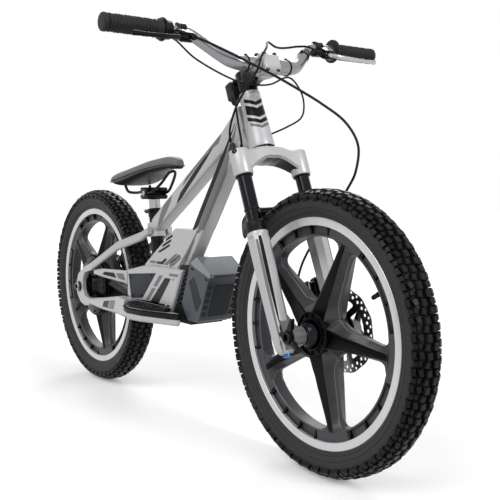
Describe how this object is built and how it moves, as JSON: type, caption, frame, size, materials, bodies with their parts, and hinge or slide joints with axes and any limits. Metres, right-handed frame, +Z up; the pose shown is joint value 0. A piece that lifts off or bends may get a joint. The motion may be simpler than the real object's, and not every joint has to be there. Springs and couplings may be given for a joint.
{
  "type": "electric balance bike",
  "caption": "Child's electric balance bike with cast spoked wheels, knobbly tyres, suspension fork, riser bar, slim saddle and a clip-on battery ahead of the drive case.",
  "frame": {"origin": "On the ground midway between the axles, in the bike's middle plane.", "axes": "+X forward, +Y to the rider's left, +Z up."},
  "size_m": [1.4502, 0.6496, 0.8366],
  "materials": {
    "silver_paint": "satin light silver-grey paint",
    "grey_cast": "satin dark grey casting",
    "tyre": "matte rubber",
    "grip": "matte rubber",
    "black_metal": "gloss black metal",
    "black_plastic": "matte",
    "slate_plastic": "matte",
    "battery_grey": "satin",
    "steel": "brushed",
    "chrome": "polished",
    "vinyl": "matte grey seat cover"
  },
  "bodies": {
    "frame": {"head_tube": "silver_paint", "top_tube": "silver_paint", "down_tube": "silver_paint", "seat_tube": "black_metal", "frame_gusset": "silver_paint", "drive_case": "silver_paint", "side_panel_right": "slate_plastic", "side_panel_left": "slate_plastic", "battery_cradle": "black_plastic", "footrest_right": "silver_paint", "footrest_left": "silver_paint", "foot_tread_right": "black_plastic", "foot_tread_left": "black_plastic", "seat_stay_right": "silver_paint", "seat_stay_left": "silver_paint", "upper_stay_right": "silver_paint", "upper_stay_left": "silver_paint", "lower_stay_right": "silver_paint", "lower_stay_left": "silver_paint", "rear_axle": "chrome", "rear_caliper": "black_metal", "seat_clamp": "black_metal", "cable_port": "slate_plastic", "headset_lower": "black_metal"},
    "steering": {"fork_crown": "silver_paint", "stanchion_right": "chrome", "stanchion_left": "chrome", "headset_spacers": "black_metal", "stem": "silver_paint", "stem_faceplate": "silver_paint", "handlebar": "silver_paint", "left_grip": "grip", "throttle_housing": "black_plastic", "lever_mount_right": "black_metal", "lever_mount_left": "steel", "display": "slate_plastic", "front_brake_cable": "black_plastic", "rear_brake_cable": "black_plastic", "throttle_cable": "black_plastic", "harness_cable": "black_plastic"},
    "fork": {"fork_lowers": "silver_paint", "front_axle": "black_metal", "front_caliper": "black_metal"},
    "front_rolling": {"front_wheel": "grey_cast", "front_tyre": "tyre", "front_hub": "black_metal", "front_disc": "steel"},
    "rear_rolling": {"rear_wheel": "grey_cast", "rear_tyre": "tyre", "hub_motor": "black_metal", "rear_disc": "steel"},
    "seat": {"seat_post": "chrome", "saddle_rails": "steel", "saddle": "vinyl"},
    "clamp_lever": {"seat_clamp_lever": "black_metal"},
    "throttle": {"throttle_grip": "grip"},
    "right_lever": {"brake_lever_right": "black_metal"},
    "left_lever": {"brake_lever_left": "steel"},
    "battery_pack": {"battery": "battery_grey"},
    "button": {"power_button": "black_plastic"}
  },
  "joints": [
    {"name": "steering_turn", "type": "hinge", "parent": "frame", "child": "steering", "pos_m": [0.28101, 0, 0.60004], "axis": [-0.3665, 0, 0.9304], "range_deg": [-45, 45], "deforming": ["rear_brake_cable", "throttle_cable", "harness_cable"]},
    {"name": "fork_travel", "type": "slide", "parent": "steering", "child": "fork", "axis": [-0.3665, 0, 0.9304], "range_m": [0, 0.05], "stiffness_N_per_m": 3000, "springref_m": -0.04, "deforming": ["front_brake_cable"]},
    {"name": "front_wheel_spin", "type": "hinge", "parent": "fork", "child": "front_rolling", "pos_m": [0.4635, 0, 0.262], "axis": [0, 1, 0], "continuous": true},
    {"name": "rear_wheel_spin", "type": "hinge", "parent": "frame", "child": "rear_rolling", "pos_m": [-0.4635, 0, 0.262], "axis": [0, 1, 0], "continuous": true},
    {"name": "seat_height", "type": "slide", "parent": "frame", "child": "seat", "axis": [-0.1219, 0, 0.9925], "range_m": [-0.02, 0.05]},
    {"name": "clamp_open", "type": "hinge", "parent": "frame", "child": "clamp_lever", "pos_m": [-0.1766, -0.0125, 0.4686], "axis": [-0.1219, 0, 0.9925], "range_deg": [-120, 0]},
    {"name": "throttle_turn", "type": "hinge", "parent": "steering", "child": "throttle", "pos_m": [0.24902, 0, 0.81354], "axis": [0, -1, 0], "range_deg": [0, 60], "stiffness_Nm_per_rad": 0.2, "springref_deg": -5.73},
    {"name": "right_brake", "type": "hinge", "parent": "steering", "child": "right_lever", "pos_m": [0.27802, -0.178, 0.80001], "axis": [-0.4226, 0, -0.9063], "range_deg": [0, 15], "stiffness_Nm_per_rad": 0.5, "springref_deg": -11.46},
    {"name": "left_brake", "type": "hinge", "parent": "steering", "child": "left_lever", "pos_m": [0.27802, 0.178, 0.80001], "axis": [0.4226, 0, 0.9063], "range_deg": [0, 15], "stiffness_Nm_per_rad": 0.5, "springref_deg": -11.46},
    {"name": "battery_release", "type": "slide", "parent": "frame", "child": "battery_pack", "axis": [0.3796, 0, 0.9252], "range_m": [0, 0.06]},
    {"name": "button_press", "type": "slide", "parent": "steering", "child": "button", "axis": [0.9304, 0, 0.3665], "range_m": [0, 0.0015], "stiffness_N_per_m": 300, "springref_m": -0.001}
  ]
}
